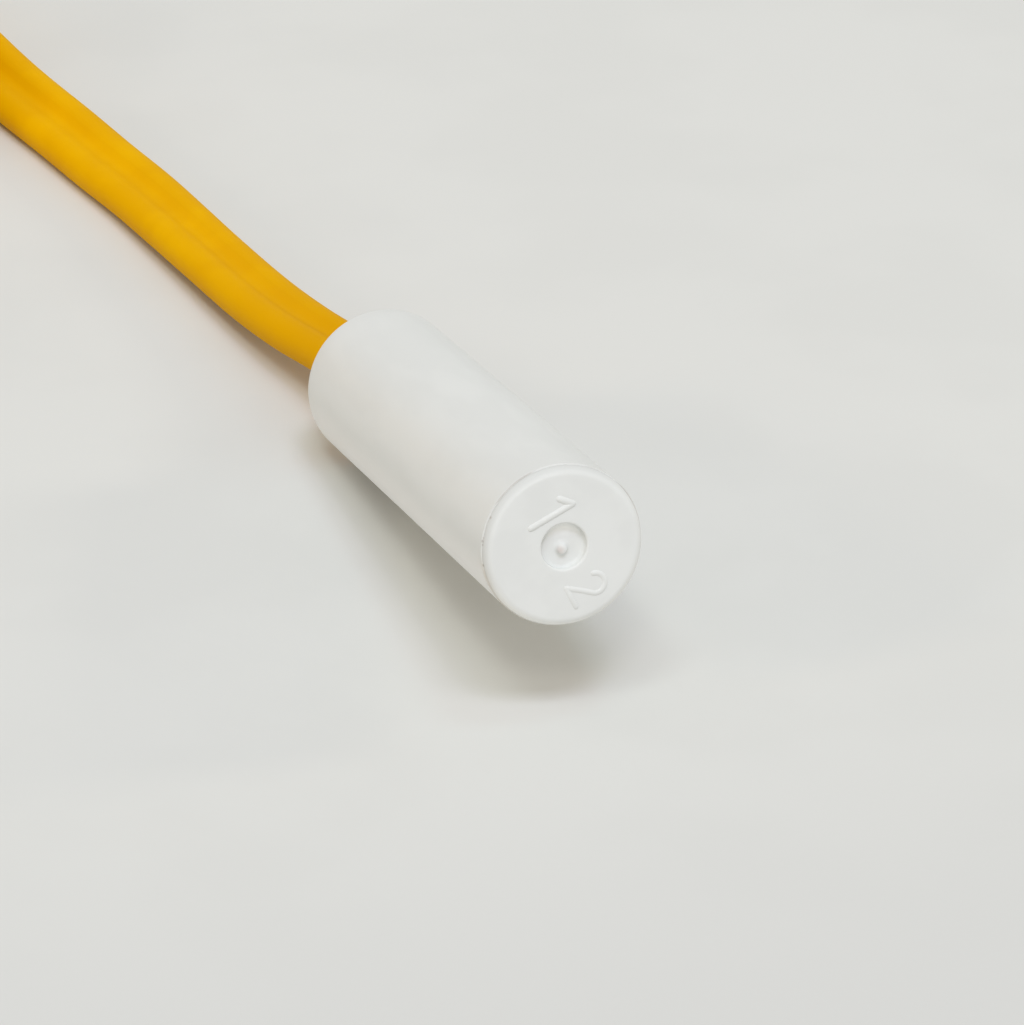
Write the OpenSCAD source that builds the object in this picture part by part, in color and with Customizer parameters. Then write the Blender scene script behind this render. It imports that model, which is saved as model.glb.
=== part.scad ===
// Potted temperature sensor for a refrigerator's evaporator. A blunt moulded cap holds a thermistor in resin,
// and a flat twin lead leaves its open end. The lead is wound into a tied coil and ends in a two-way crimp
// connector. The sensor lies on a surface at height zero, nose up, and its closed face looks towards -Y.
// Sizes are millimetres.

/* [Cap] */
// Outside diameter of the cap
cap_d = 6.5; // [5.8:0.1:9]
// Length of the cap from its mouth to its closed face
cap_l = 25; // [23:0.5:40]
// Thickness of the cap's side wall
cap_wall = 0.7; // [0.5:0.05:0.9]
// Thickness of the closed end
cap_end = 1.2; // [0.9:0.1:2]
// Rounding of the edge round the closed face
face_round = 0.35; // [0.1:0.05:0.5]
// Rounding of the edge at the mouth
mouth_round = 0.15; // [0.05:0.05:0.2]
// Distance from the rounded edge back to the mould's parting line
parting_gap = 0.05; // [0:0.05:1]
// Step in radius at the parting line
parting_step = 0.04; // [0.01:0.01:0.08]
// Height of the cap's nose over its back, as an angle
cap_tilt = 10; // [0:1:15]

/* [Gate mark] */
// Diameter of the recess that the moulding gate leaves in the face
gate_d = 1.85; // [1.2:0.05:2.6]
// Depth of the recess
gate_depth = 0.35; // [0.15:0.05:0.6]
// Diameter of the broken gate stub in the recess
stub_d = 0.5; // [0.3:0.05:0.8]
// Height of the stub
stub_h = 0.2; // [0.1:0.05:0.5]

/* [Resin] */
// Depth of the resin's surface below the mouth
resin_recess = 1; // [0.5:0.1:2]
// Sag in the middle of the resin's surface
resin_sag = 0.3; // [0.1:0.05:0.5]

/* [Thermistor] */
// Width and length of the thermistor chip
chip_w = 1; // [0.6:0.1:1.2]
// Thickness of the chip
chip_t = 0.4; // [0.3:0.05:0.6]
// Diameter of the coated bead
bead_d = 2.2; // [1.9:0.1:2.8]
// Length of the bead with its neck
bead_l = 4; // [3.2:0.1:5]
// Gap between the bead and the cap's closed end
bead_gap = 0.6; // [0.3:0.1:2]
// Diameter of the bead's legs
leg_d = 0.25; // [0.2:0.01:0.34]
// Thickness of the solder round a leg and its wire
solder_t = 0.1; // [0.06:0.01:0.12]
// Length of a soldered joint
solder_l = 2.6; // [2:0.1:3.4]
// Wall of the sleeve over a soldered joint
sleeve_wall = 0.1; // [0.06:0.01:0.12]
// Length of the sleeve over a soldered joint
sleeve_l = 5; // [4:0.1:6]

/* [Lead] */
// Diameter of one insulated core, which is half the lead's width
core_d = 1.6; // [1.4:0.05:1.7]
// Length of the insulated lead inside the cap
lead_in = 8; // [5:0.5:9]
// Diameter of one strand of wire
strand_d = 0.16; // [0.12:0.01:0.18]
// Bare length of the wires inside the cap
strip_l = 3.4; // [3:0.1:3.8]
// Radius of the coil's widest turn, at the middle of the lead
coil_r = 16.8; // [16:0.1:20]
// Turns of the coil side by side
coil_rows = 3; // [2:1:4]
// Turns of the coil on each other
coil_layers = 2; // [1:1:3]

/* [Tie] */
// Thickness of the ribbon round the coil, which lifts the coil
tie_t = 0.3; // [0.2:0.05:0.5]
// Width of the ribbon
tie_w = 3; // [2:0.5:4]
// Length of the tie's twisted ends
tie_end_l = 5.5; // [4:0.5:10]

/* [Connector] */
// Distance between the two contacts
pitch = 2.5; // [2.5:0.1:3]
// Length of the connector's housing
housing_l = 9.8; // [9.6:0.1:12]
// Height of the housing without its ribs
housing_h = 5.2; // [4.6:0.1:7]
// Plastic beside the contacts' cavities
housing_side = 1.4; // [1:0.1:2]
// Thickness of the housing's front wall
housing_front = 0.8; // [0.6:0.1:1.2]
// Height of the two ribs on the housing
rib_h = 0.6; // [0.3:0.1:1]
// Width of a rib
rib_w = 1; // [0.6:0.1:1.2]
// Thickness of the contacts' sheet metal
sheet_t = 0.2; // [0.15:0.01:0.25]
// Length of a contact's box
box_l = 3.4; // [3:0.1:3.8]
// Length of the barrel crimped on the wire
wire_barrel_l = 1.8; // [1.2:0.1:2]
// Length of the barrel crimped on the core
core_barrel_l = 1.6; // [1.2:0.1:1.8]
// Side of the pin hole in the housing's front wall
pin_hole = 1; // [0.8:0.1:1.2]

/* [Hidden] */
$fn = 64;

// Room between pieces that are pushed together, and between the turns of the coil
fit_gap = 0.05;
// Room round a contact in its cavity
cavity_gap = 0.1;
// Overlap of the cutting shapes past a face
past = 0.5;

cap_r = cap_d / 2;
bore_r = cap_r - cap_wall;
bore_round = min(0.5, bore_r / 4);
bore_l = cap_l - cap_end;
parting_z = cap_l - face_round - parting_gap;

// The cap rests on the rounded edge of its mouth, with its own box centred over the origin
mouth_z = (cap_r - mouth_round) * cos(cap_tilt) + mouth_round * (1 - sin(cap_tilt));
back_reach = (cap_r - mouth_round) * sin(cap_tilt) + mouth_round * (1 - cos(cap_tilt));
face_reach = (cap_r - parting_step - face_round) * sin(cap_tilt) + face_round * (1 - cos(cap_tilt));
mouth_y = (cap_l * cos(cap_tilt) + face_reach - back_reach) / 2;

// Stack of the pieces inside the cap, measured from the mouth
wire_r = 1.5 * strand_d;
core_x = core_d / 2;
chip_z = bore_l - bead_gap - bead_d / 2;
neck_z = bore_l - bead_gap - bead_l;
leg_x = chip_t / 2 + leg_d / 2;
leg_y = wire_r + leg_d / 2 + 0.01;
solder_y = (leg_y + leg_d / 2 - wire_r) / 2;
solder_z = lead_in + strip_l - solder_l + 0.4;
solder_end_r = wire_r + solder_y + solder_t / 2;
solder_r = solder_end_r + solder_t / 2;
sleeve_z = lead_in + fit_gap;
sleeve_r = solder_r + fit_gap;
// Right leg of the bead, from the solder to the chip
leg_points = [
    [core_x, leg_y, solder_z + 0.3],
    [core_x, leg_y, solder_z + solder_l + 0.4],
    [leg_x, 0, neck_z + 0.6],
    [leg_x, 0, chip_z + chip_w / 3]
];

// The lead's route behind the mouth: x, y, height and roll in degrees, from the point below the mouth
lead_straight = 3;
lead_route = [
    [-0.4, 6, 2.2, 0], [-1, 9, 1.87, 2], [-1.6, 13, 1.5, 3], [-2.25, 18, 1.25, 3],
    [-2.8, 22, 1.14, 7], [-3.4, 26, 1.06, 11], [-4.2, 30, 1.02, 14], [-5, 34, 1.05, 17],
    [-5.9, 38, 1.11, 21], [-6.5, 41, 1.18, 27], [-6.9, 43, 1.29, 35]
];
tail_route = [
    [-41.6, 39, 4.2, 58], [-41.2, 36, 3.4, 42], [-40.5, 32, 2.42, 24], [-39.74, 28, 1.58, 10],
    [-39.21, 24.5, 1, 3], [-39, 21, 0.81, 0], [-39, 19.5, 0.8, 0], [-39, 18, 0.8, 0]
];
// The two cores from the end of the lead to the connector: y, and the share of their spread and of their rise
// to the contacts
core_route = [[18, 0], [16.5, 0], [15, 0.06], [13, 0.25], [10.5, 0.6], [8, 0.92], [6, 1]];
// Middle of the coil, from the point below the mouth, and the tie's place round it
coil_x = -25.07;
coil_y = 48.1;
tie_angle = 135;

coil_out = coil_r + core_d / 2 + fit_gap;
coil_in = coil_out - coil_rows * (core_d + fit_gap);
coil_h = coil_layers * (2 * core_d + fit_gap);

// Middle of the connector, and its housing's back face, from the point below the mouth
connector_x = -39;
housing_back = 4.5;
// Sizes of the housing's cavities, and of the barrel that lies on the floor of each
core_barrel_d = core_d + 2 * sheet_t;
cavity_w = core_barrel_d + 2 * cavity_gap;
housing_w = pitch + cavity_w + 2 * housing_side;
contact_y = -cavity_gap;
axis_z = housing_h / 2 + contact_y;
// Places along a contact, from the housing's back face forwards
core_barrel_y = 0.6;
wire_barrel_y = core_barrel_y + core_barrel_l + 0.5;
box_y = wire_barrel_y + wire_barrel_l + 0.6;
// Lance on the contact's box and the window in the housing that it stops in
lance_back = 0.5;
lance_h = 0.55;
window_l = 1.9;
// Cut corners of the housing, and the bar that joins its ribs
housing_edge = 0.4;
bar_l = 2;

function unit(v) = v / norm(v);
// Direction of the route at point i
function along(p, i) = unit(p[min(i + 1, len(p) - 1)] - p[max(i - 1, 0)]);
function side_of(t) = unit([t.y, -t.x, 0]);
function shifted(route) = [for (p = route) [p.x, p.y + mouth_y, p.z]];
function turns(route) = [for (p = route) p[3]];
// A point at distance s behind the mouth on the cap's axis
function on_axis(s) = [0, mouth_y + s * cos(cap_tilt), mouth_z - s * sin(cap_tilt)];

// One ring of a swept section, turned by roll about the route
function ring(at, t, roll, section) =
    let (s = side_of(t), u = cross(s, t))
    let (w = cos(roll) * s + sin(roll) * u, n = cos(roll) * u - sin(roll) * s)
    [for (q = section) at + q.x * w + q.y * n];

// Flat twin section: two cores side by side, drawn with eight corners
function twin_section() = [for (sx = [1, -1]) for (k = [0:3])
    let (a = (sx > 0 ? -67.5 : 112.5) + 45 * k) [sx * core_x + core_d / 2 * cos(a), core_d / 2 * sin(a)]];
function round_section(r) = [for (k = [0:7]) [r * cos(22.5 + 45 * k), r * sin(22.5 + 45 * k)]];

// Solid swept along a route
module sweep(path, rolls, section) {
    n = len(section);
    last = len(path) - 1;
    points = [for (i = [0:last]) each ring(path[i], along(path, i), rolls[i], section)];
    sides = [for (i = [0:last - 1]) for (k = [0:n - 1])
        let (a = i * n + k, b = i * n + (k + 1) % n) each [[a, b, b + n], [a, b + n, a + n]]];
    ends = [[for (k = [0:n - 1]) n - 1 - k], [for (k = [0:n - 1]) last * n + k]];
    polyhedron(points = points, faces = concat(sides, ends), convexity = 4);
}

// Moves a shape from the cap's own frame, with its mouth at zero and its face up, to where the cap lies
module in_cap() {
    translate([0, mouth_y, mouth_z]) rotate([90 - cap_tilt, 0, 0]) children();
}

// Half section of a round rod with a rounded end at its top
module rod_half(r, l, round) {
    square([r - round, l]);
    square([r, l - round]);
    translate([r - round, l - round]) circle(r = round);
}

// Rectangle with round corners, centred on the origin
module soft_rectangle(w, h, r) {
    square([w, h - 2 * r], center = true);
    square([w - 2 * r, h], center = true);
    for (sx = [-1, 1]) for (sy = [-1, 1]) translate([sx * (w / 2 - r), sy * (h / 2 - r)]) circle(r = r);
}

// Straight round wire from one point to the next, with a slightly swollen elbow at each point between
module wire_run(points, d) {
    for (i = [0:len(points) - 2]) {
        v = points[i + 1] - points[i];
        bend = acos(v.z / norm(v));
        translate(points[i]) rotate([0, bend, atan2(v.y, v.x)]) cylinder(h = norm(v), d = d, $fn = 24);
    }
    for (i = [1:len(points) - 2]) translate(points[i]) sphere(d = d * 1.08, $fn = 24);
}

// Seven strands in a bundle, from z = 0 up
module strands(l) {
    lay = strand_d * 0.97;
    cylinder(h = l, d = strand_d, $fn = 16);
    for (k = [0:5]) rotate([0, 0, 60 * k]) translate([lay, 0, 0]) cylinder(h = l, d = strand_d, $fn = 16);
}

module cap_solid() {
    rotate_extrude() {
        difference() {
            union() {
                square([cap_r - mouth_round, parting_z]);
                translate([cap_r - mouth_round, mouth_round]) circle(r = mouth_round, $fn = 32);
                translate([0, mouth_round]) square([cap_r, parting_z - mouth_round]);
                translate([0, cap_l / 2]) rod_half(cap_r - parting_step, cap_l / 2, face_round);
            }
            translate([0, -past]) rod_half(bore_r, bore_l + past, bore_round);
        }
    }
}

module cap() {
    color("#f3f2ee") in_cap() {
        difference() {
            cap_solid();
            translate([0, 0, cap_l - gate_depth]) cylinder(h = gate_depth + past, d = gate_d);
        }
        translate([0, 0, cap_l - gate_depth - 0.1])
            cylinder(h = stub_h + 0.1, d1 = stub_d, d2 = stub_d * 0.6, $fn = 32);
    }
}

// A shape on both sides of the cap's middle plane
module both_sides() {
    children();
    mirror([1, 0, 0]) children();
}

module leg_shape() { wire_run(leg_points, leg_d); }
module leg_right() { color("#c9ccd0") in_cap() leg_shape(); }
module leg_left() { mirror([1, 0, 0]) leg_right(); }

module chip_shape() {
    translate([-chip_t / 2, -chip_w / 2, chip_z - chip_w / 2]) cube([chip_t, chip_w, chip_w]);
}

module thermistor_chip() {
    color("#3a3d42") in_cap() chip_shape();
}

// Drop of coating round the chip, with a neck that runs down the legs
module bead_shape() {
    r = bead_d / 2;
    neck_r = leg_x + leg_d / 2 + 0.25;
    rotate_extrude() intersection() {
        union() {
            translate([0, chip_z]) circle(r = r);
            translate([0, neck_z]) square([neck_r, chip_z - neck_z]);
            polygon([[0, neck_z + 0.6], [neck_r, neck_z + 0.6],
                     [r * cos(20), chip_z - r * sin(20)], [0, chip_z]]);
        }
        translate([0, neck_z]) square([r + past, bead_l + past]);
    }
}

module bead_coating() {
    color("#23262b") in_cap() difference() {
        bead_shape();
        chip_shape();
        both_sides() leg_shape();
    }
}

module wire_shape() { translate([core_x, 0, lead_in]) strands(strip_l); }
module wire_right() { color("#c47a45") in_cap() wire_shape(); }
module wire_left() { mirror([1, 0, 0]) wire_right(); }

// Solder round the wire and the leg, thinner at both ends
module solder_right() {
    color("#b9bcc0") in_cap() difference() {
        translate([core_x, solder_y, solder_z]) rotate_extrude()
            polygon([[0, 0], [solder_end_r, 0], [solder_r, solder_l / 4], [solder_r, solder_l * 3 / 4],
                     [solder_end_r, solder_l], [0, solder_l]]);
        leg_shape();
        wire_shape();
    }
}

module solder_left() { mirror([1, 0, 0]) solder_right(); }

// Room that a sleeve takes, with the joint inside it
module sleeve_shape() {
    translate([core_x, solder_y, sleeve_z]) cylinder(h = sleeve_l, r = sleeve_r + sleeve_wall);
}

module sleeve_right() {
    color("#1f2023") in_cap() difference() {
        sleeve_shape();
        translate([core_x, solder_y, sleeve_z - past]) cylinder(h = sleeve_l + 2 * past, r = sleeve_r);
    }
}

module sleeve_left() { mirror([1, 0, 0]) sleeve_right(); }

// Resin that fills the cap round everything else, with a dished surface below the mouth
module resin_fill() {
    dish_r = (bore_r * bore_r + resin_sag * resin_sag) / (2 * resin_sag);
    color("#d9d6cc") in_cap() difference() {
        rotate_extrude() intersection() {
            rod_half(bore_r, bore_l, bore_round);
            translate([0, resin_recess]) square([cap_r, cap_l]);
        }
        translate([0, 0, resin_recess + resin_sag - dish_r]) sphere(r = dish_r, $fn = 128);
        linear_extrude(height = lead_in) polygon(twin_section());
        bead_shape();
        both_sides() {
            leg_shape();
            sleeve_shape();
            translate([core_x, 0, lead_in - past]) cylinder(h = past + fit_gap, r = wire_r);
        }
    }
}

module lead() {
    path = concat([on_axis(-lead_in), on_axis(0), on_axis(lead_straight)], shifted(lead_route));
    color("#e8ac00") sweep(path, concat([0, 0, 0], turns(lead_route)), twin_section());
}

module lead_tail() {
    color("#e8ac00") sweep(shifted(tail_route), turns(tail_route), twin_section());
}

// Outer shape of the wound lead
module lead_coil() {
    color("#e0a500") translate([coil_x, coil_y + mouth_y, tie_t]) rotate_extrude($fn = 96)
        translate([(coil_in + coil_out) / 2, coil_h / 2])
            soft_rectangle(coil_out - coil_in, coil_h, core_d / 2, $fn = 32);
}

// Ribbon round the coil's bundle, with its two ends twisted together outside the coil
module coil_tie() {
    middle = (coil_in + coil_out) / 2;
    inner_w = coil_out - coil_in + 2 * fit_gap;
    sweep_angle = tie_w / middle * 180 / PI;
    color("#f4f4f2") translate([coil_x, coil_y + mouth_y, 0]) {
        rotate([0, 0, tie_angle - sweep_angle / 2]) rotate_extrude(angle = sweep_angle)
            translate([middle, tie_t + coil_h / 2]) difference() {
                soft_rectangle(inner_w + 2 * tie_t, coil_h + 2 * tie_t, core_d / 2 + tie_t, $fn = 32);
                soft_rectangle(inner_w, coil_h, core_d / 2, $fn = 32);
            }
        steps = 24;
        start = [coil_out + fit_gap + tie_t / 2, 0, tie_t + coil_h / 2];
        path = [for (i = [0:steps]) start + i / steps * tie_end_l * [0.94, 0, 0.34]];
        flat = [[-tie_w / 4, -tie_t], [tie_w / 4, -tie_t], [tie_w / 4, tie_t], [-tie_w / 4, tie_t]];
        rotate([0, 0, tie_angle]) sweep(path, [for (i = [0:steps]) i * 30], flat);
    }
}

module core(s) {
    spread = pitch / 2 - core_x;
    rise = axis_z - core_d / 2;
    path = concat(
        [for (p = core_route)
            [connector_x + s * (core_x + p[1] * spread), p[0] + mouth_y, core_d / 2 + p[1] * rise]],
        [for (y = [0, core_barrel_y + core_barrel_l])
            [connector_x + s * pitch / 2, housing_back - y + mouth_y, axis_z]]);
    color("#e8ac00") sweep(path, [for (p = path) 0], round_section(core_d / 2));
}

module core_left() { core(-1); }
module core_right() { core(1); }

// Moves a shape from the housing's frame, with its back face at zero and its front towards +Z, to the floor
module in_connector() {
    translate([connector_x, housing_back + mouth_y, housing_h / 2]) rotate([90, 0, 0]) children();
}

// Rectangle with its corners cut off, centred on the origin
module cut_rectangle(w, h, c) {
    x = w / 2;
    y = h / 2;
    polygon([[c - x, -y], [x - c, -y], [x, c - y], [x, y - c],
             [x - c, y], [c - x, y], [-x, y - c], [-x, c - y]]);
}

// Body of the housing with its two ribs and the bar that joins them at the back
module housing_body() {
    rib_x = housing_w / 2 - housing_edge - rib_w / 2;
    intersection() {
        linear_extrude(height = housing_l) {
            cut_rectangle(housing_w, housing_h, housing_edge);
            for (s = [-1, 1]) translate([s * rib_x - rib_w / 2, 0]) square([rib_w, housing_h / 2 + rib_h]);
        }
        translate([0, housing_h, 0]) rotate([90, 0, 0]) linear_extrude(height = 2 * housing_h)
            translate([0, housing_l / 2]) cut_rectangle(housing_w, housing_l, housing_edge / 2);
    }
    translate([-rib_x, housing_h / 2 - past, 0]) cube([2 * rib_x, past + rib_h, bar_l]);
}

// Two-way housing: cavities from the back, pin holes in the front wall and windows for the contacts' lances
module connector_housing() {
    color("#efeee8") in_connector() difference() {
        housing_body();
        for (s = [-1, 1]) translate([s * pitch / 2, 0, 0]) {
            translate([-cavity_w / 2, -cavity_w / 2, -past])
                cube([cavity_w, cavity_w, housing_l - housing_front + past]);
            translate([-pin_hole / 2, -pin_hole / 2 + contact_y, housing_l / 2])
                cube([pin_hole, pin_hole, housing_l]);
            translate([-cavity_w * 0.3, 0, box_y + lance_back - window_l])
                cube([cavity_w * 0.6, housing_h, window_l]);
        }
    }
}

// Crimp contact of folded sheet: box, neck, barrel on the wire and barrel on the core
module contact(s) {
    box_w = core_barrel_d - 2 * sheet_t;
    leaf_w = box_w / 2;
    base_y = -core_barrel_d / 2;
    color("#c9a45c") in_connector() translate([s * pitch / 2, contact_y, 0]) {
        translate([0, base_y + box_w / 2, box_y]) linear_extrude(height = box_l) difference() {
            square(box_w, center = true);
            square(box_w - 2 * sheet_t, center = true);
        }
        // Spring leaf bent up from the floor of the box
        translate([leaf_w / 2, base_y, box_y]) rotate([0, -90, 0]) linear_extrude(height = leaf_w)
            polygon([[0, 0], [box_l - 0.2, 0], [box_l - 0.2, sheet_t],
                     [box_l * 0.6, sheet_t + 0.35], [0.4, sheet_t]]);
        // Lance that rises from the roof of the box and stops against the back edge of the window
        translate([0.3, base_y + box_w, box_y]) rotate([0, -90, 0]) linear_extrude(height = 0.6)
            polygon([[lance_back + 1.4, -sheet_t / 2], [lance_back, lance_h], [lance_back, lance_h - sheet_t],
                     [lance_back + 1, -sheet_t / 2]]);
        translate([-wire_r, base_y, core_barrel_y])
            cube([2 * wire_r, sheet_t, box_y + sheet_t - core_barrel_y]);
        translate([0, 0, wire_barrel_y]) linear_extrude(height = wire_barrel_l) difference() {
            union() {
                circle(r = wire_r + sheet_t);
                translate([-wire_r, base_y]) square([2 * wire_r, core_barrel_d / 2]);
            }
            circle(r = wire_r);
        }
        translate([0, 0, core_barrel_y]) linear_extrude(height = core_barrel_l) difference() {
            circle(d = core_barrel_d);
            circle(d = core_d);
            translate([-0.1, 0]) square([0.2, core_barrel_d]);
        }
    }
}

module contact_left() { contact(-1); }
module contact_right() { contact(1); }

module wire_end(s) {
    start = core_barrel_y + core_barrel_l;
    color("#c47a45") in_connector() translate([s * pitch / 2, contact_y, start])
        strands(wire_barrel_y + wire_barrel_l + 0.3 - start);
}

module wire_end_left() { wire_end(-1); }
module wire_end_right() { wire_end(1); }

cap();
resin_fill();
thermistor_chip();
bead_coating();
leg_left();
leg_right();
solder_left();
solder_right();
sleeve_left();
sleeve_right();
wire_left();
wire_right();
lead();
lead_coil();
lead_tail();
coil_tie();
core_left();
core_right();
connector_housing();
contact_left();
contact_right();
wire_end_left();
wire_end_right();
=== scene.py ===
"""Looks of a defrost sensor: a blunt white moulded cap on a flat yellow two-core lead, on a pale floor.

Lengths are written in millimetres and turned into metres by MM. The cap's own frame has its mouth at z = 0,
its closed face at z = CAP_L and +y up the face. cap_point() takes a point of it to where the cap lies.
"""

import math

import bpy
from mathutils import Matrix, Vector


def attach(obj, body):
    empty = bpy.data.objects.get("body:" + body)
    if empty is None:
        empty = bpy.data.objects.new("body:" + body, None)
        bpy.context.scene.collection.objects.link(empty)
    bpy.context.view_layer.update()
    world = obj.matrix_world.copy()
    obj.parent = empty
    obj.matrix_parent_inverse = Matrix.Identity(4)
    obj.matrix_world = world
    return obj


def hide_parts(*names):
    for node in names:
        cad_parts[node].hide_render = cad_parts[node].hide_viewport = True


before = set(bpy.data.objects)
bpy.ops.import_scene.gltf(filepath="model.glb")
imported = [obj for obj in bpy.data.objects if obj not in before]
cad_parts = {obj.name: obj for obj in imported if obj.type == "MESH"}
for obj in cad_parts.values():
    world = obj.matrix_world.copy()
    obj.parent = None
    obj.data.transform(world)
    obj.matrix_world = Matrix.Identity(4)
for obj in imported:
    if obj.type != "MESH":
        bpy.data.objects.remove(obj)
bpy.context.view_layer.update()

MM = 0.001
BODY = "root"

# Cap: the moulded shell
CAP_R = 3.25
CAP_L = 25.0
CAP_WALL = 0.7
CAP_END = 1.2
CAP_TILT = math.radians(10)
BORE_ROUND = 0.5
LIP_ROUND = 0.1
MOUTH_ROUND = 0.15
FACE_ROUND = 0.35

# Cap: the parting line, a step down in the radius with a groove at its foot
PARTING_Z = 24.6
PARTING_STEP = 0.04
PARTING_EDGE = 0.01
GROOVE_DEPTH = 0.03
GROOVE_WIDTH = 0.04

# Cap: the gate mark, a recess in the middle of the face with the broken gate's stub in it
GATE_R = 0.925
GATE_ROUND = 0.09
GATE_DEPTH = 0.35
GATE_FLOOR_ROUND = 0.12
STUB_R = 0.25
STUB_H = 0.2
# The stub's foot, out from its radius and up in millimetres, and its sides, in shares of its radius and
# height
STUB_FOOT = [(0.12, 0), (0.03, 0.02)]
STUB_SIDES = [(0.86, 0.4), (0.72, 0.8), (0.5, 0.97), (0, 1)]

# How far the gate mark lies off the middle: the recess up the face, the stub down it and a little left.
# The recess's shift dies out at DRIFT_R, over a width of DRIFT_EASE, and the stub's at STUB_DRIFT_R
RECESS_DRIFT = 0.02
DRIFT_R = 1.6
DRIFT_EASE = 0.4
STUB_DRIFT = 0.22
STUB_DRIFT_R = 0.7
STUB_LEAN = 0.15

# Cavity numbers on the face: the radius of a stroke's round bar, which lies mostly below the face, and the
# numbers' turn
RIDGE_R = 0.19
NUMERAL_TURN = math.radians(-66)

# Dirt: specks on the cap's edge, as a place in the cap's own frame and a radius
DIRT_SPECKS = [
    ((-2.87, 1.53, 24.72), 0.11), ((-3.17, 0.72, 24.66), 0.09), ((-3.2, 0.58, 24.64), 0.11),
    ((-3.19, 0.44, 24.65), 0.08), ((-3.2, -0.4, 24.65), 0.1),
]
# Parting line: where its dark tone is strongest, in degrees round the face from the right towards the top,
# the distance from the axis that way at which the dark tone begins, and how strong it gets
PARTING_DARK_STRETCHES = [(20, 2.9, 0.35), (125, 3.03, 0.22)]

# Resin that creeps up the lead: how much larger each ring is than the lead, and how far inside the mouth
COLLAR_RINGS = [(1.55, 1.25), (1.28, 1.12), (1.12, 0.95), (1.04, 0.72), (0.99, 0.45)]

# Lead: two cores joined by a web, and how far it runs into the cap
CORE_R = 0.8
WEB_HALF = 0.56
VALLEY_DIP = 0.03
LEAD_IN = 8.0

# Coil of two layers: its middle on the floor from the point below the mouth, the radius of its widest turn,
# the turns' pitch, both layers' heights, the angles in degrees at which the lead comes in and leaves, the
# whole turns before it leaves, and the turns of a spiral
COIL_CENTRE = (-25.07, 48.1)
COIL_R = 16.8
COIL_PITCH = 1.65
COIL_LOW_Z = 1.9
COIL_HIGH_Z = 5.15
COIL_ENTRY = 11.3
COIL_EXIT = 180.0
COIL_TURNS = 4
LAYER_TURNS = 2
# The climb between the layers: its length in degrees and its swing towards the middle
COIL_CLIMB = 90.0
CLIMB_SWING = 0.2
ON_EDGE = 90

# Connector
CONNECTOR_X = -39.0
CONTACT_PITCH = 2.5
CONTACT_Z = 2.5

# How finely the curved pieces are cut: rings and sides, and the step between the points of a route
CAP_SEGMENTS = 192
BORE_STEP = 2
BORE_RINGS = 11
SIDE_RINGS = 24
SIDE_GAP = 0.1
FACE_RINGS = 9
RIDGE_SIDES = 16
RIDGE_DOME = (88, 70, 50, 25)
CORE_SIDES = 28
SECTION_STEPS = 15
LEAD_STEP = 0.75
CORE_STEP = 0.4
COIL_STEP = 5
# A swept tube's map counts its length in units of so many millimetres
MAP_UNIT = 10

# Where the cap's mouth lies, worked out as the solids are
MOUTH_Z = (CAP_R - MOUTH_ROUND) * math.cos(CAP_TILT) + MOUTH_ROUND * (1 - math.sin(CAP_TILT))
BACK_REACH = (CAP_R - MOUTH_ROUND) * math.sin(CAP_TILT) + MOUTH_ROUND * (1 - math.cos(CAP_TILT))
FACE_REACH = (CAP_R - PARTING_STEP - FACE_ROUND) * math.sin(CAP_TILT) + FACE_ROUND * (1 - math.cos(CAP_TILT))
MOUTH_Y = (CAP_L * math.cos(CAP_TILT) + FACE_REACH - BACK_REACH) / 2
CAP_PLACE = Matrix.Translation((0, MOUTH_Y, MOUTH_Z)) @ Matrix.Rotation(math.pi / 2 - CAP_TILT, 4, "X")

# The lead's route: first along the cap's axis, by the distance behind the mouth, then by x, y, height and
# roll in degrees, from the floor point below the mouth
LEAD_ON_AXIS = (-LEAD_IN, -LEAD_IN / 2, 0, 1.5, 3)
LEAD_ROUTE = [
    (-0.4, 6, 2.2, 0), (-1, 9, 1.87, 2), (-1.6, 13, 1.5, 3), (-2.25, 18, 1.25, 3),
    (-2.8, 22, 1.14, 7), (-3.4, 26, 1.06, 11), (-4.2, 30, 1.02, 14), (-5, 34, 1.05, 17),
    (-5.9, 38, 1.11, 21), (-6.5, 41, 1.18, 27), (-6.9, 43, 1.29, 35),
    (-7.75, 47.2, 1.6, 62),
]
TAIL_ROUTE = [
    (-41.85, 44, 5.05, 80), (-41.6, 39, 4.2, 58), (-41.2, 36, 3.4, 42), (-40.5, 32, 2.42, 24),
    (-39.74, 28, 1.58, 10), (-39.21, 24.5, 1, 3), (-39, 21, 0.81, 0), (-39, 19.5, 0.8, 0), (-39, 18, 0.8, 0),
]
# The two cores: y, and the share of their spread and rise to the contacts
CORE_ROUTE = [
    (18.5, 0), (16.5, 0), (15, 0.06), (13, 0.25), (10.5, 0.6), (8, 0.92), (6, 1), (4, 1), (2.4, 1),
]

# Camera: its place from the middle of the cap's mouth, the way it looks, its lens, and the depths that it
# sees, in metres
CAMERA_FROM_MOUTH = (-77.522, -260.932, 130.940)
CAMERA_AZIMUTH = math.radians(17.693)
CAMERA_DOWN = math.radians(26.705)
CAMERA_ROLL = math.radians(0.3)
FOCAL_PX = 7229.0
FRAME_HEIGHT_PX = 1025.0
SENSOR_MM = 36.0
CLIP_START = 0.01
CLIP_END = 10

# Studio: the floor's half width, and the lamps' distance from the point that they look at
FLOOR_HALF = 1500
LAMP_AIM = (0, 0, 5)
LAMP_DISTANCE = 3000
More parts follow.
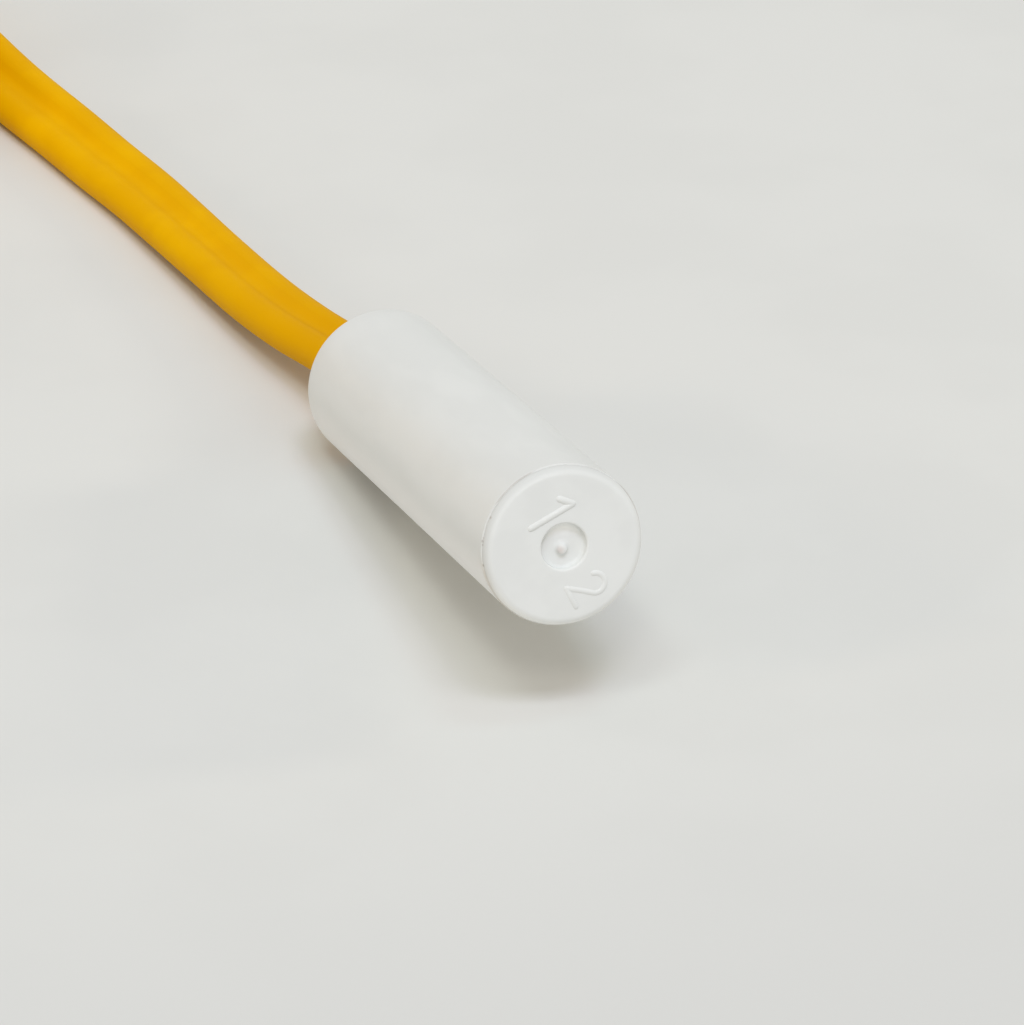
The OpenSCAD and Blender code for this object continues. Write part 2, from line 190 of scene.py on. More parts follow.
# Soft lamps: azimuth from -Y towards +X and elevation in degrees, width and height in millimetres, power in
# watts, colour, and whether gloss shows it
LAMPS = {
    "key": (-10, 62, 600, 600, 13.5, (0.76, 0.82, 1), False),
    "key_right": (5, 62, 600, 600, 14.1, (0.81, 0.82, 1), False),
    "key_left": (-40, 62, 600, 600, 12.1, (0.91, 1, 0.99), False),
    "low": (-20, 45, 600, 600, 11.2, (1, 0.93, 0.89), False),
    "top": (50, 78, 600, 600, 5.3, (0.58, 0.92, 1), False),
    "left": (-80, 25, 600, 600, 7.8, (1, 0.8, 0.59), False),
    "right": (90, 25, 600, 600, 8.9, (1, 0.89, 0.69), False),
    "front": (4, 26, 1100, 220, 4.6, (1, 1, 1), True),
}
WORLD_LIGHT = (0.508, 0.478, 0.448)

# Display colours, from 0 to 255: the backdrop, and the floor, with its duller tone and its tone in front
BACKDROP = (219, 220, 216)
FLOOR_PALE, FLOOR_DULL, FLOOR_FRONT = (218, 219, 215), (216, 217, 213), (211, 212, 209)
# The lead's insulation, with its deeper tone and its painted shade by the cap
YELLOW, YELLOW_DEEP, YELLOW_SHADED_BY_CAP = (231, 175, 0), (226, 168, 0), (220, 161, 0)
# The cap's plastic, with its duller tone, and the dark tone of its parting line, a warm tint and dirt specks
WHITE, WHITE_DULL = (226, 228, 225), (223, 225, 222)
PARTING_DARK, WARM_TINT, SPECK = (140, 126, 108), (222, 204, 180), (120, 104, 84)
# Painted light and shade where light passes through the cap: low on its side, high and low on its edge
SIDE_PAINTED_LIGHT, EDGE_PAINTED_SHADE, EDGE_PAINTED_LIGHT = (239, 239, 236), (213, 215, 212), (238, 239, 235)
# Painted light in the gate's recess, all over and more at its top, and the stub's own warmer tone
RECESS_PAINTED_LIGHT, RECESS_TOP_PAINTED_LIGHT, STUB_TONE = (228, 230, 227), (252, 253, 250), (206, 196, 190)


# Meshes

def cap_point(x, y, z):
    """A point of the cap's own frame, in the part's frame, in millimetres."""
    return CAP_PLACE @ Vector((x, y, z))


def mesh_of(name, points, faces):
    """A smooth-shaded mesh from points in millimetres."""
    mesh = bpy.data.meshes.new(name)
    mesh.from_pydata([Vector(p) * MM for p in points], [], faces)
    mesh.validate()
    mesh.shade_smooth()
    return mesh


def add_piece(name, mesh, slot, *nodes):
    """Links a new piece of the sensor, in place of the solids named, if any."""
    piece = bpy.data.objects.new(name, mesh)
    bpy.context.scene.collection.objects.link(piece)
    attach(piece, BODY)
    if nodes:
        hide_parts(*nodes)
    return piece


def arc(centre, radius, start, end, steps):
    """Points of an arc in a profile, from one angle to another in degrees."""
    angles = [math.radians(start + (end - start) * i / steps) for i in range(steps + 1)]
    return [(centre[0] + radius * math.cos(angle), centre[1] + radius * math.sin(angle)) for angle in angles]


def revolve(profile, segments):
    """Points and faces of a profile of (radius, z) turned about z. At a radius of zero it has one point."""
    points, faces, rings = [], [], []
    for radius, z in profile:
        count = segments if radius > 0 else 1
        rings.append((len(points), count))
        for k in range(count):
            angle = 2 * math.pi * k / segments
            points.append(Vector((radius * math.cos(angle), radius * math.sin(angle), z)))
    for (start, count), (after, next_count) in zip(rings, rings[1:]):
        for k in range(segments):
            j = (k + 1) % segments
            corners = [start + k % count, start + j % count, after + j % next_count, after + k % next_count]
            # A corner that two neighbours share, at a radius of zero, counts once
            faces.append(list(dict.fromkeys(corners)))
    return points, faces


def tube_faces(rings, count, ends=True):
    """Faces of a tube of rings with count points each, and of its two ends."""
    faces = []
    for ring in range(0, (rings - 1) * count, count):
        for k in range(count):
            j = (k + 1) % count
            faces.append((ring + k, ring + j, ring + count + j, ring + count + k))
    if ends:
        faces.append(list(reversed(range(count))))
        faces.append([(rings - 1) * count + k for k in range(count)])
    return faces


def smooth_route(knots, step):
    """Points about step apart on a smooth curve through knots of x, y, z and any further values."""
    def gap(a, b):
        return math.dist(a[:3], b[:3])

    route = []
    last = len(knots) - 1
    for i in range(last):
        before, a, b, after = (knots[min(max(j, 0), last)] for j in (i - 1, i, i + 1, i + 2))
        # The slope at each knot is that of the line past it, as far as this stretch reaches
        reach_a = gap(a, b) / gap(before, b)
        reach_b = gap(a, b) / gap(a, after)
        count = max(1, round(gap(a, b) / step))
        for k in range(count):
            # How much each end's place and slope count, a share t of the way from a to b
            t = k / count
            at_a, slope_a = 2 * t**3 - 3 * t**2 + 1, t**3 - 2 * t**2 + t
            at_b, slope_b = 3 * t**2 - 2 * t**3, t**3 - t**2
            route.append(tuple(
                at_a * p + slope_a * (q - o) * reach_a + at_b * q + slope_b * (r - p) * reach_b
                for o, p, q, r in zip(before, a, b, after)
            ))
    return route + [tuple(knots[-1])]


def sweep(route, section):
    """Points and faces of a closed tube: the section along a route of (x, y, z, roll)."""
    points = []
    last = len(route) - 1
    for i, (x, y, z, roll) in enumerate(route):
        along = Vector(route[min(i + 1, last)][:3]) - Vector(route[max(i - 1, 0)][:3])
        along.normalize()
        side = Vector((along.y, -along.x, 0)).normalized()
        up = side.cross(along)
        turn = math.radians(roll)
        wide = side * math.cos(turn) + up * math.sin(turn)
        thick = up * math.cos(turn) - side * math.sin(turn)
        points += [Vector((x, y, z)) + wide * u + thick * v for u, v in section]
    return points, tube_faces(len(route), len(section))


def map_tube(mesh, route, count):
    """Maps a swept tube: across, its length in units of MAP_UNIT, and up, the share of its way round."""
    lengths = [0.0]
    for a, b in zip(route, route[1:]):
        lengths.append(lengths[-1] + math.dist(a[:3], b[:3]) / MAP_UNIT)
    layer = mesh.uv_layers.new(name="UVMap")
    for face in mesh.polygons:
        rings = [v // count for v in face.vertices]
        places = [v % count for v in face.vertices]
        # The last face of a ring runs on to a whole turn instead of back to zero
        wraps = max(places) - min(places) > count / 2
        for loop, ring, place in zip(face.loop_indices, rings, places):
            layer.data[loop].uv = (lengths[ring], (place + count * (wraps and place < count / 2)) / count)


def add_tube(name, knots, step, section, *nodes):
    """A piece of insulation swept along a smooth route, in place of the solids named, and that route."""
    route = smooth_route(knots, step)
    mesh = mesh_of(name, *sweep(route, section))
    map_tube(mesh, route, len(section))
    return add_piece(name, mesh, "lead_pvc", *nodes), route


# Lead

def twin_section():
    """Outline of the flat lead: two round cores and a web between them, with a valley on each face."""
    valley = math.degrees(math.asin(WEB_HALF / CORE_R))
    right = arc((CORE_R, 0), CORE_R, valley - 180, 180 - valley, SECTION_STEPS)
    left = arc((-CORE_R, 0), CORE_R, valley, 360 - valley, SECTION_STEPS)
    return right + [(0, WEB_HALF - VALLEY_DIP)] + left + [(0, VALLEY_DIP - WEB_HALF)]


def on_axis(distance):
    """A knot of the lead's route on the cap's axis, at a distance behind the mouth."""
    return (0, MOUTH_Y + distance * math.cos(CAP_TILT), MOUTH_Z - distance * math.sin(CAP_TILT), 0)


def from_mouth(knots):
    """Knots given from the floor point below the mouth, in the part's frame."""
    return [(x, y + MOUTH_Y, z, roll) for x, y, z, roll in knots]


def coil_knots():
    """The lead's turns on edge: a spiral inwards, a climb at the inside, and a spiral outwards on top."""
    climb_start = COIL_ENTRY + 360 * LAYER_TURNS
    climb_end = climb_start + COIL_CLIMB
    last = 360 * COIL_TURNS + COIL_EXIT
    inner = COIL_R - LAYER_TURNS * COIL_PITCH
    count = round((last - COIL_ENTRY) / COIL_STEP)
    knots = []
    for i in range(count + 1):
        turn = COIL_ENTRY + (last - COIL_ENTRY) * i / count
        if turn < climb_start:
            radius = COIL_R - COIL_PITCH * (turn - COIL_ENTRY) / 360
            z = COIL_LOW_Z
        elif turn < climb_end:
            share = (turn - climb_start) / COIL_CLIMB
            radius = inner - CLIMB_SWING * math.sin(math.pi * share)
            z = COIL_LOW_Z + (COIL_HIGH_Z - COIL_LOW_Z) * share * share * (3 - 2 * share)
        else:
            radius = min(COIL_R, inner + COIL_PITCH * (turn - climb_end) / 360)
            z = COIL_HIGH_Z
        angle = math.radians(turn)
        x, y = COIL_CENTRE[0] + radius * math.cos(angle), COIL_CENTRE[1] + radius * math.sin(angle)
        knots.append((x, y, z, ON_EDGE))
    return knots


def add_lead():
    """The whole flat lead, from the resin to where its cores part, and its route in metres."""
    knots = [on_axis(distance) for distance in LEAD_ON_AXIS]
    knots += from_mouth(LEAD_ROUTE + coil_knots() + TAIL_ROUTE)
    lead, route = add_tube("flat_lead", knots, LEAD_STEP, twin_section(), "lead", "lead_coil", "lead_tail")
    return lead, [Vector(p[:3]) * MM for p in route]


def add_core(side, name, node):
    """One of the two cores, from the flat lead to its contact, on the left (side -1) or the right (1)."""
    spread, rise = CONTACT_PITCH / 2 - CORE_R, CONTACT_Z - CORE_R
    knots = from_mouth([
        (CONNECTOR_X + side * (CORE_R + share * spread), y, CORE_R + share * rise, 0)
        for y, share in CORE_ROUTE
    ])
    core, _ = add_tube(name, knots, CORE_STEP, arc((0, 0), CORE_R, 0, 360, CORE_SIDES)[:-1], node)
    return core


# Cap

def gate_profile():
    """The gate mark's part of the cap's section: the recess's rim, wall and floor, and the broken stub."""
    recess = CAP_L - GATE_DEPTH
    rim = arc((GATE_R + GATE_ROUND, CAP_L - GATE_ROUND), GATE_ROUND, 90, 180, 8)
    wall = arc((GATE_R - GATE_FLOOR_ROUND, recess + GATE_FLOOR_ROUND), GATE_FLOOR_ROUND, 0, -90, 6)
    foot = [(GATE_R * 0.6, recess)] + [(STUB_R + out, recess + up) for out, up in STUB_FOOT]
    return rim + wall + foot + [(STUB_R * across, recess + STUB_H * up) for across, up in STUB_SIDES]


def cap_profile():
    """Section of the cap, as (radius, z), from the middle of its inner end to the middle of its face."""
    bore = CAP_R - CAP_WALL
    floor = CAP_L - CAP_END
    inner_end = [(0, floor)] + arc((bore - BORE_ROUND, floor - BORE_ROUND), BORE_ROUND, 90, 0, 8)
    inside = [(bore, floor - BORE_STEP * i) for i in range(1, BORE_RINGS + 1)] + [(bore, MOUTH_ROUND)]
    lip = arc((bore + LIP_ROUND, LIP_ROUND), LIP_ROUND, 180, 270, 4)
    mouth = arc((CAP_R - MOUTH_ROUND, MOUTH_ROUND), MOUTH_ROUND, -90, 0, 6)
    side_l = PARTING_Z - SIDE_GAP - MOUTH_ROUND
    side = [(CAP_R, MOUTH_ROUND + side_l * i / SIDE_RINGS) for i in range(1, SIDE_RINGS + 1)]
    nose = CAP_R - PARTING_STEP
    parting = [
        (CAP_R, PARTING_Z - GROOVE_DEPTH), (CAP_R - PARTING_EDGE, PARTING_Z - PARTING_EDGE * 0.8),
        (nose - GROOVE_DEPTH, PARTING_Z), (nose - GROOVE_DEPTH, PARTING_Z + GROOVE_WIDTH / 2),
        (nose, PARTING_Z + GROOVE_WIDTH),
    ]
    flat = nose - FACE_ROUND
    edge = arc((flat, CAP_L - FACE_ROUND), FACE_ROUND, 0, 90, 14)
    flat_w = flat - (GATE_R + GATE_ROUND)
    face = [(flat - flat_w * i / FACE_RINGS, CAP_L) for i in range(1, FACE_RINGS)]
    return inner_end + inside + lip + mouth + side + parting + edge + face + gate_profile()


def gate_drift(x, y, z):
    """Moves the gate's recess a little up from the middle, and the stub in it a little down."""
    radius = math.hypot(x, y)
    inside = z < CAP_L - CAP_END / 2
    if inside or radius > DRIFT_R:
        return x, y, z
    up = min(1.0, (DRIFT_R - radius) / DRIFT_EASE) * RECESS_DRIFT
    down = max(0.0, 1 - radius / STUB_DRIFT_R) * STUB_DRIFT
    return x - STUB_LEAN * down, y + up - down, z


def add_cap():
    """The moulded cap, one revolved shell whose gate mark lies a little off the middle."""
    points, faces = revolve(cap_profile(), CAP_SEGMENTS)
    points = [cap_point(*gate_drift(*point)) for point in points]
    return add_piece("moulded_cap", mesh_of("moulded_cap", points, faces), "cap_plastic", "cap")


def dome(tip, way):
    """Rings past the end of a ridge, from the outermost inwards, as middles and shares of its radius."""
    angles = [math.radians(degrees) for degrees in RIDGE_DOME]
    return [(tip + way.normalized() * RIDGE_R * math.sin(angle), math.cos(angle)) for angle in angles]


def ridge(stroke, rise):
    """A low rounded ridge with domed ends on the cap's face, along a stroke of (x, y) points."""
    line = [Vector((x, y, CAP_L - (RIDGE_R - rise))) for x, y in stroke]
    spine = dome(line[0], line[0] - line[1]) + [(point, 1) for point in line]
    spine += reversed(dome(line[-1], line[-1] - line[-2]))
    points = []
    last = len(spine) - 1
    for i, (middle, share) in enumerate(spine):
        along = (spine[min(i + 1, last)][0] - spine[max(i - 1, 0)][0]).normalized()
        side = Vector((along.y, -along.x, 0))
        for k in range(RIDGE_SIDES):
            angle = 2 * math.pi * k / RIDGE_SIDES
            out = (side * math.cos(angle) + Vector((0, 0, math.sin(angle)))) * RIDGE_R * share
            points.append(CAP_PLACE @ (middle + out))
    return points, tube_faces(len(spine), RIDGE_SIDES)


def add_numeral(name, strokes, place, height, rise):
    """A raised cavity number on the cap's face, from strokes of (x, y) in units of its height."""
    points, faces = [], []
    cosine, sine = math.cos(NUMERAL_TURN) * height, math.sin(NUMERAL_TURN) * height
    for stroke in strokes:
        turned = [(place[0] + x * cosine - y * sine, place[1] + x * sine + y * cosine) for x, y in stroke]
        some, sides = ridge(turned, rise)
        faces += [[k + len(points) for k in side] for side in sides]
        points += some
    return add_piece(name, mesh_of(name, points, faces), "cap_plastic")


def add_numerals():
    """Plain cavity numbers, as a mould with several cavities leaves them."""
    one = [[(0, -0.5), (0, 0.5)], [(0, 0.5), (-0.24, 0.3)]]
    two = [arc((0, 0.23), 0.27, 165, -35, 14) + [(0, -0.16), (-0.28, -0.5)], [(-0.28, -0.5), (0.3, -0.5)]]
    return [
        add_numeral("numeral_one", one, (-0.45, 1.32), 1.9, 0.06),
        add_numeral("numeral_two", two, (0.85, -1.75), 1.5, 0.04),
    ]


def add_resin_collar():
    """The resin that creeps up round the lead where it leaves the cap."""
    outline = twin_section()
    points = [
        cap_point(x * (1 + (grow - 1) * 0.5), y * grow, z)
        for grow, z in COLLAR_RINGS
        for x, y in outline
    ]
    faces = tube_faces(len(COLLAR_RINGS), len(outline), ends=False)
    return add_piece("resin_collar", mesh_of("resin_collar", points, faces), "resin")


# Materials

class Shade:
    """One procedural material, with helpers that add nodes and link them."""

    def __init__(self, name, colour, roughness, **sockets):
        self.material = bpy.data.materials.new(name)
        self.material.use_nodes = True
        self.tree = self.material.node_tree
        self.shader = self.tree.nodes["Principled BSDF"]
        self.shader.inputs["Base Color"].default_value = (*colour, 1)
        self.shader.inputs["Roughness"].default_value = roughness
        for socket, value in sockets.items():
            self.shader.inputs[socket.replace("_", " ")].default_value = value
        self.material.diffuse_color = (*colour, 1)
        self.coordinates = self.tree.nodes.new("ShaderNodeTexCoord")
        self.map = self.coordinates.outputs["UV"]
        self.mm = self.local((0, 0, 0), (0, 0, 0))

    def local(self, origin, turn):
        """Coordinates in millimetres in a frame with the given origin (mm) and rotation."""
        mapping = self.tree.nodes.new("ShaderNodeMapping")
        mapping.vector_type = "TEXTURE"
        mapping.inputs["Location"].default_value = Vector(origin) * MM
        mapping.inputs["Rotation"].default_value = turn
        mapping.inputs["Scale"].default_value = (MM, MM, MM)
        self.link(self.coordinates.outputs["Object"], mapping.inputs["Vector"])
        return mapping.outputs["Vector"]

    def link(self, out, into):
        """Links an output to an input."""
        self.tree.links.new(out, into)

    def feed(self, socket, value):
        """Links an output into a socket, or sets its value."""
        if isinstance(value, bpy.types.NodeSocket):
            self.link(value, socket)
        else:
            socket.default_value = value

    def noise(self, scale, detail=3, stretch=(1, 1, 1), where=None):
        """Soft noise, finer as its scale grows, in millimetres unless it is given other coordinates."""
        scaled = self.tree.nodes.new("ShaderNodeMapping")
        scaled.inputs["Scale"].default_value = stretch
        self.link(where or self.mm, scaled.inputs["Vector"])
        node = self.tree.nodes.new("ShaderNodeTexNoise")
        node.inputs["Scale"].default_value = scale
        node.inputs["Detail"].default_value = detail
        self.link(scaled.outputs["Vector"], node.inputs["Vector"])
        return node.outputs["Fac"]

    def fit(self, value, low, high, to_low=0.0, to_high=1.0):
        """Maps a range of a value to another, clamped and eased."""
        node = self.tree.nodes.new("ShaderNodeMapRange")
        node.interpolation_type = "SMOOTHSTEP"
        ends = {"From Min": low, "From Max": high, "To Min": to_low, "To Max": to_high}
        for socket, number in ends.items():
            node.inputs[socket].default_value = number
        self.link(value, node.inputs["Value"])
        return node.outputs["Result"]

    def maths(self, operation, a, b):
        """One sum, from outputs or numbers."""
        node = self.tree.nodes.new("ShaderNodeMath")
        node.operation = operation
        self.feed(node.inputs[0], a)
        self.feed(node.inputs[1], b)
        return node.outputs["Value"]

    def product(self, first, *others):
        """Outputs or numbers multiplied with one another."""
        for other in others:
            first = self.maths("MULTIPLY", first, other)
        return first

    def band(self, value, start, full, fade, end):
        """One from full to fade, easing to zero at start and end."""
        return self.product(self.fit(value, start, full), self.fit(value, end, fade))

    def toward(self, where, way):
        """How far a point lies from a frame's z axis along a way (x, y)."""
        x, y, _ = self.parts(where)
        return self.maths("ADD", self.product(x, way[0]), self.product(y, way[1]))

    def near(self, where, point, radius):
        """One at a point of a frame and zero from radius on, in millimetres."""
        node = self.tree.nodes.new("ShaderNodeVectorMath")
        node.operation = "DISTANCE"
        self.link(where, node.inputs[0])
        node.inputs[1].default_value = point
        return self.fit(node.outputs["Value"], radius, 0.0)

    def parts(self, vector):
        """The x, y and z of a vector."""
        node = self.tree.nodes.new("ShaderNodeSeparateXYZ")
        self.link(vector, node.inputs["Vector"])
        return node.outputs["X"], node.outputs["Y"], node.outputs["Z"]

    def mix(self, share, a, b):
        """A colour between a and b by share."""
        node = self.tree.nodes.new("ShaderNodeMix")
        node.data_type = "RGBA"
        self.feed(node.inputs["Factor"], share)
        self.feed(node.inputs["A"], a if isinstance(a, bpy.types.NodeSocket) else (*a, 1))
        self.feed(node.inputs["B"], b if isinstance(b, bpy.types.NodeSocket) else (*b, 1))
        return node.outputs["Result"]

    def tint(self, look, tone, share):
        """Moves a colour towards a display colour by share."""
        return self.mix(share, look, linear(tone))

    def colour(self, value):
        """Takes the surface's colour from an output."""
        self.link(value, self.shader.inputs["Base Color"])

    def rough(self, value):
        """Takes the surface's roughness from an output."""
        self.link(value, self.shader.inputs["Roughness"])

    def bump(self, height, strength, depth_mm):
        """Adds relief to the surface, on top of what it has."""
        node = self.tree.nodes.new("ShaderNodeBump")
        node.inputs["Strength"].default_value = strength
        node.inputs["Distance"].default_value = depth_mm * MM
        self.link(height, node.inputs["Height"])
        last = self.shader.inputs["Normal"]
        if last.is_linked:
            self.link(last.links[0].from_socket, node.inputs["Normal"])
        self.link(node.outputs["Normal"], last)


def linear(colour):
    """A display colour from 0 to 255 as the linear colour that the shaders take."""
    shares = [level / 255 for level in colour]
    return tuple(share / 12.92 if share <= 0.04045 else ((share + 0.055) / 1.055) ** 2.4 for share in shares)


def plain_look(name, colour, other, roughness, drift, grain, depth, metallic):
    """A material whose colour drifts softly between two, with fine grain in its bump and gloss."""
    shade = Shade(name, colour, roughness, Metallic=metallic)
    fine = shade.noise(grain, 3)
    shade.colour(shade.mix(shade.fit(shade.noise(drift, 4), 0.35, 0.65), colour, other))
    shade.rough(shade.fit(fine, 0.3, 0.7, roughness - 0.07, roughness + 0.07))
    shade.bump(fine, 0.5, depth)
    return shade.material


def parting_line_dark(shade, own, look):
    """A thin dark brownish line in the parting line, strong on two stretches of it, hardly any elsewhere."""
    _, _, z = shade.parts(own)
    line = shade.band(z, PARTING_Z - 0.05, PARTING_Z - 0.01, PARTING_Z + 0.02, PARTING_Z + 0.06)
    share = shade.fit(shade.noise(0.55, 3, where=own), 0.42, 0.6, 0.05, 0.15)
    for degrees, begins, most in PARTING_DARK_STRETCHES:
        angle = math.radians(degrees)
        along = shade.toward(own, (math.cos(angle), math.sin(angle)))
        share = shade.maths("ADD", share, shade.fit(along, begins, 3.15, 0.0, most))
    return shade.tint(look, PARTING_DARK, shade.product(line, share))


def low_left_warm_tint(shade, own, look):
    """A warm tint on the left of the edge, low down."""
    x, y, z = shade.parts(own)
    left, low = shade.fit(x, -0.6, -2.9), shade.fit(y, 0.4, -1.2)
    edge = shade.band(z, PARTING_Z - 1.0, PARTING_Z - 0.1, CAP_L - 0.3, CAP_L - 0.05)
    patchy = shade.fit(shade.noise(1.1, 4, where=own), 0.3, 0.65, 0.1, 0.4)
    return shade.tint(look, WARM_TINT, shade.product(left, low, edge, patchy))


def painted_light_on_side(shade, own, look):
    """Painted light and shade for light through the plastic: the side lighter on its low left, the face's
    rounded edge darker at its top left and lighter low down.
    """
    _, y, z = shade.parts(own)
    side = shade.fit(z, PARTING_Z, PARTING_Z - 0.3)
    low_left = shade.fit(shade.toward(own, (-0.7, -0.72)), 2.1, 3.0)
    look = shade.tint(look, SIDE_PAINTED_LIGHT, shade.product(low_left, side))
    edge = shade.band(z, PARTING_Z, PARTING_Z + 0.06, CAP_L - 0.12, CAP_L)
    top_left = shade.fit(shade.toward(own, (-0.5, 0.87)), -0.5, 2.2)
    look = shade.tint(look, EDGE_PAINTED_SHADE, shade.product(edge, top_left))
    return shade.tint(look, EDGE_PAINTED_LIGHT, shade.product(edge, shade.fit(y, -0.5, -2.6)))


def painted_light_in_gate(shade, own, look):
    """Painted light in the gate's recess, stronger in its upper part where shade falls; its broken stub is a
    little warmer than the face.
    """
    _, y, z = shade.parts(own)
    middle = (0, RECESS_DRIFT, CAP_L - GATE_DEPTH / 2)
    recess = shade.fit(shade.near(own, middle, GATE_R + 0.2), 0.05, 0.15)
    recess = shade.product(recess, shade.fit(z, CAP_L - 0.01, CAP_L - 0.08))
    look = shade.tint(look, RECESS_PAINTED_LIGHT, recess)
    look = shade.tint(look, RECESS_TOP_PAINTED_LIGHT, shade.product(recess, shade.fit(y, 0.25, 0.85)))
    stub = shade.near(own, (-0.13, -0.13, CAP_L - 0.18), 0.28)
    return shade.tint(look, STUB_TONE, shade.product(stub, 0.7))


def dirt_specks(shade, own, look):
    """Small specks of dirt on the left of the cap's edge."""
    for place, radius in DIRT_SPECKS:
        look = shade.tint(look, SPECK, shade.product(shade.near(own, place, radius), 0.75))
    return look


def cap_material():
    """White moulded plastic with faint flow marks, some dirt, and painted light and shade."""
    white, dull = linear(WHITE), linear(WHITE_DULL)
    shade = Shade("white_moulded_plastic", white, 0.2, Specular_IOR_Level=0.35)
    own = shade.local((0, MOUTH_Y, MOUTH_Z), (math.pi / 2 - CAP_TILT, 0, 0))
    look = shade.mix(shade.fit(shade.noise(0.5, 3, (1, 1, 0.35), own), 0.4, 0.62), white, dull)
    for layer in (parting_line_dark, low_left_warm_tint, painted_light_on_side, painted_light_in_gate, dirt_specks):
        look = layer(shade, own, look)
    shade.colour(look)
    # The face is smoother than the side, which came out of a longer, duller part of the mould
    _, _, z = shade.parts(own)
    fine = shade.noise(9, 4, where=own)
    smoother = shade.fit(z, PARTING_Z - 0.1, PARTING_Z + 0.02, 0.0, -0.25)
    shade.rough(shade.maths("ADD", shade.fit(fine, 0.3, 0.7, 0.41, 0.48), smoother))
    shade.bump(fine, 0.1, 0.001)
    shade.bump(shade.noise(0.6, 2, (1, 1, 0.4), own), 0.2, 0.006)
    return shade.material


def lead_material():
    """Yellow extruded insulation: softly mottled, with fine lines along it."""
    yellow, deep = linear(YELLOW), linear(YELLOW_DEEP)
    shade = Shade("yellow_insulation", yellow, 0.6, Specular_IOR_Level=0.03)
    look = shade.mix(shade.fit(shade.noise(0.35, 3), 0.35, 0.65), yellow, deep)
    # Painted shade: a little deeper where it leaves the cap
    shade.colour(shade.tint(look, YELLOW_SHADED_BY_CAP, shade.near(shade.mm, (0, MOUTH_Y + 4, 3), 18)))
    lines = shade.noise(1, 3, (0.8, 90, 1), shade.map)
    fine = shade.noise(14, 3)
    shade.rough(shade.fit(fine, 0.3, 0.7, 0.52, 0.66))
    shade.bump(lines, 0.2, 0.006)
    shade.bump(fine, 0.2, 0.005)
    return shade.material


def floor_material():
    """A pale, dull floor, a little uneven in tone and surface."""
    pale, dull = linear(FLOOR_PALE), linear(FLOOR_DULL)
    shade = Shade("pale_floor", pale, 0.85, Specular_IOR_Level=0.1)
    look = shade.mix(shade.fit(shade.noise(0.08, 3), 0.4, 0.6), pale, dull)
    # A little darker towards the camera, where the photograph's light falls off
    _, y, _ = shade.parts(shade.mm)
    shade.colour(shade.tint(look, FLOOR_FRONT, shade.fit(y, -6, -42)))
    shade.bump(shade.noise(2.2, 5), 0.12, 0.03)
    return shade.material


# The solids that stay as they are: their material's name, its two display colours, roughness, scales of its
# drift and its grain, depth of the grain in millimetres, how metallic it is, and the solids' nodes
NODE_LOOKS = [
    ("potting_resin", (222, 216, 200), (208, 200, 182), 0.3, 1.2, 6, 0.02, 0, ["resin_fill"]),
    ("sintered_ceramic", (52, 54, 58), (66, 66, 70), 0.6, 4, 20, 0.01, 0, ["thermistor_chip"]),
    ("dipped_coating", (30, 31, 34), (38, 38, 42), 0.2, 1.5, 5, 0.02, 0, ["bead_coating"]),
    ("tinned_wire", (196, 198, 202), (180, 182, 186), 0.32, 4, 20, 0.004, 1, ["leg_left", "leg_right"]),
    ("solder", (186, 188, 190), (160, 162, 165), 0.3, 5, 10, 0.02, 1, ["solder_left", "solder_right"]),
    ("shrunk_sleeve", (28, 28, 30), (36, 36, 38), 0.5, 2, 9, 0.02, 0, ["sleeve_left", "sleeve_right"]),
    ("copper_strands", (214, 140, 98), (190, 110, 74), 0.3, 6, 24, 0.004, 1,
     ["wire_left", "wire_right", "wire_end_left", "wire_end_right"]),
    ("tie_ribbon", (232, 232, 228), (226, 226, 222), 0.5, 0.8, 14, 0.004, 0, ["coil_tie"]),
    ("natural_nylon", (234, 232, 224), (231, 228, 219), 0.42, 0.35, 16, 0.002, 0, ["connector_housing"]),
    ("tinned_brass", (212, 204, 180), (196, 186, 158), 0.28, 3, 16, 0.005, 1,
     ["contact_left", "contact_right"]),
]


def dress_nodes():
    """Gives the solids that stay as they are their materials, and returns these by name."""
    looks = {}
    for name, colour, other, roughness, drift, grain, depth, metallic, nodes in NODE_LOOKS:
        look = plain_look(name, linear(colour), linear(other), roughness, drift, grain, depth, metallic)
        looks[name] = look
        for node in nodes:
            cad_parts[node].data.materials.clear()
            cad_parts[node].data.materials.append(look)
    return looks


# Studio

def add_camera():
    """The photograph's camera, which looks down on the cap's face from its left."""
    data = bpy.data.cameras.new("camera")
    data.sensor_width = SENSOR_MM
    data.lens = FOCAL_PX * SENSOR_MM / FRAME_HEIGHT_PX
    data.clip_start = CLIP_START
    data.clip_end = CLIP_END
    camera = bpy.data.objects.new("camera", data)
    mouth = Vector((0, MOUTH_Y, MOUTH_Z))
    camera.location = (mouth + Vector(CAMERA_FROM_MOUTH)) * MM
    way = Matrix.Rotation(-CAMERA_AZIMUTH, 3, "Z") @ Matrix.Rotation(math.pi / 2 - CAMERA_DOWN, 3, "X")
    camera.rotation_euler = (way @ Matrix.Rotation(CAMERA_ROLL, 3, "Z")).to_euler()
    bpy.context.scene.collection.objects.link(camera)
    bpy.context.scene.camera = camera


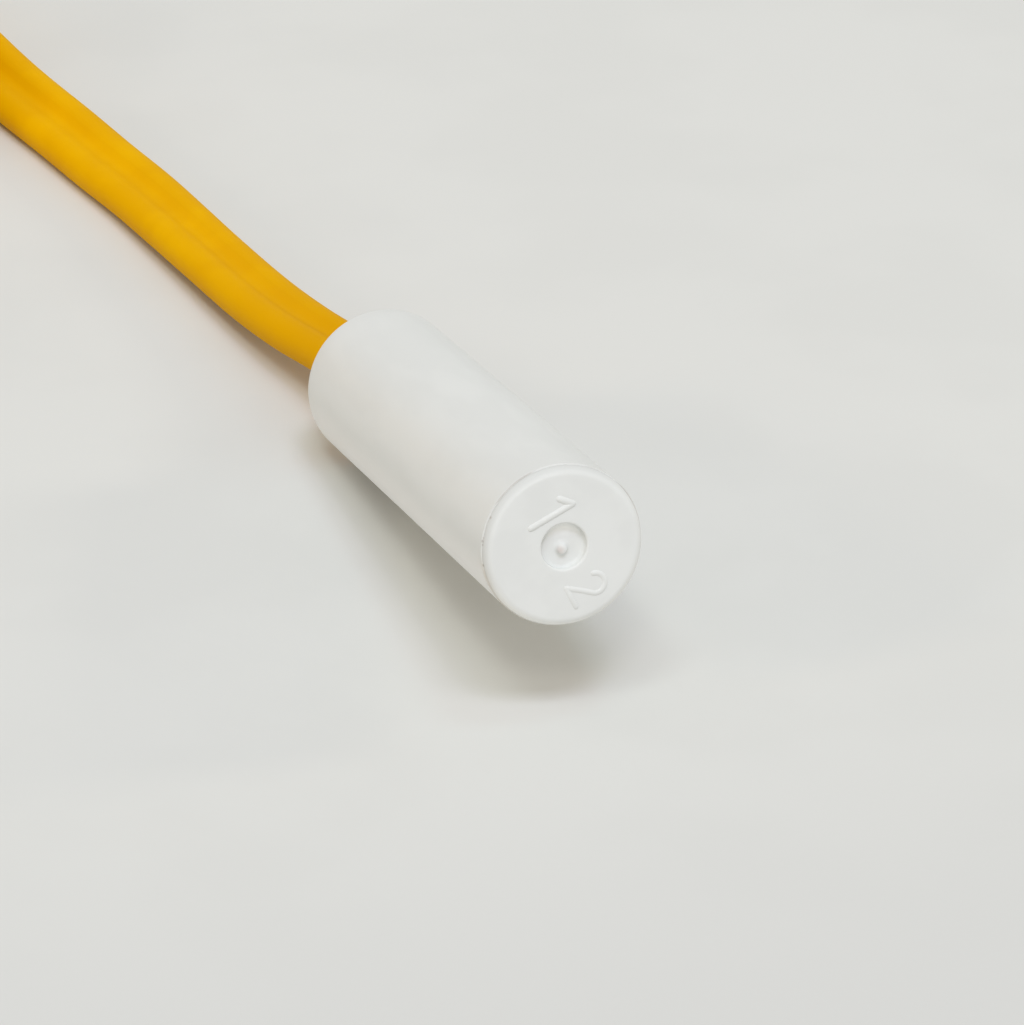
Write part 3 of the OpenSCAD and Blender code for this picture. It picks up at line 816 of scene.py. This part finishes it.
def add_lamps():
    """Soft lamps round the cap, all turned to it."""
    for name, (azimuth, elevation, width, height, watts, colour, glossy) in LAMPS.items():
        turn, rise = math.radians(azimuth), math.radians(elevation)
        way = Vector((math.sin(turn) * math.cos(rise), -math.cos(turn) * math.cos(rise), math.sin(rise)))
        data = bpy.data.lights.new(name, "AREA")
        data.shape = "RECTANGLE"
        data.size = width * MM
        data.size_y = height * MM
        data.energy = watts
        data.color = colour
        lamp = bpy.data.objects.new(name, data)
        lamp.location = (Vector(LAMP_AIM) + way * LAMP_DISTANCE) * MM
        lamp.rotation_euler = way.to_track_quat("Z", "Y").to_euler()
        lamp.visible_glossy = glossy
        bpy.context.scene.collection.objects.link(lamp)


def add_world():
    """Even light from all round, and a pale backdrop for the camera and reflections past the floor."""
    world = bpy.data.worlds.new("studio")
    world.use_nodes = True
    bpy.context.scene.world = world
    tree = world.node_tree
    light = tree.nodes["Background"]
    light.inputs["Color"].default_value = (*WORLD_LIGHT, 1)
    seen = tree.nodes.new("ShaderNodeBackground")
    seen.inputs["Color"].default_value = (*linear(BACKDROP), 1)
    path = tree.nodes.new("ShaderNodeLightPath")
    total = path.outputs["Is Camera Ray"]
    for ray in ("Is Glossy Ray", "Is Transmission Ray"):
        either = tree.nodes.new("ShaderNodeMath")
        either.operation = "MAXIMUM"
        tree.links.new(total, either.inputs[0])
        tree.links.new(path.outputs[ray], either.inputs[1])
        total = either.outputs["Value"]
    mix = tree.nodes.new("ShaderNodeMixShader")
    tree.links.new(total, mix.inputs["Fac"])
    tree.links.new(light.outputs["Background"], mix.inputs[1])
    tree.links.new(seen.outputs["Background"], mix.inputs[2])
    tree.links.new(mix.outputs["Shader"], tree.nodes["World Output"].inputs["Surface"])


def add_floor():
    """The floor that the sensor lies on."""
    corners = [(x * FLOOR_HALF, y * FLOOR_HALF, 0) for x, y in ((-1, -1), (1, -1), (1, 1), (-1, 1))]
    mesh = mesh_of("floor", corners, [(0, 1, 2, 3)])
    mesh.materials.append(floor_material())
    floor = bpy.data.objects.new("floor", mesh)
    bpy.context.scene.collection.objects.link(floor)


def main():
    bpy.context.scene.view_settings.view_transform = "Standard"
    add_camera()
    lead, lead_path = add_lead()
    cores = [add_core(-1, "core_left_skin", "core_left"), add_core(1, "core_right_skin", "core_right")]
    cap = add_cap()
    numerals = add_numerals()
    collar = add_resin_collar()
    looks = dress_nodes()
    yellow, white = lead_material(), cap_material()
    for piece in [lead, *cores]:
        piece.data.materials.append(yellow)
    for piece in [cap, *numerals]:
        piece.data.materials.append(white)
    collar.data.materials.append(looks["potting_resin"])
    add_floor()
    add_world()
    add_lamps()


main()
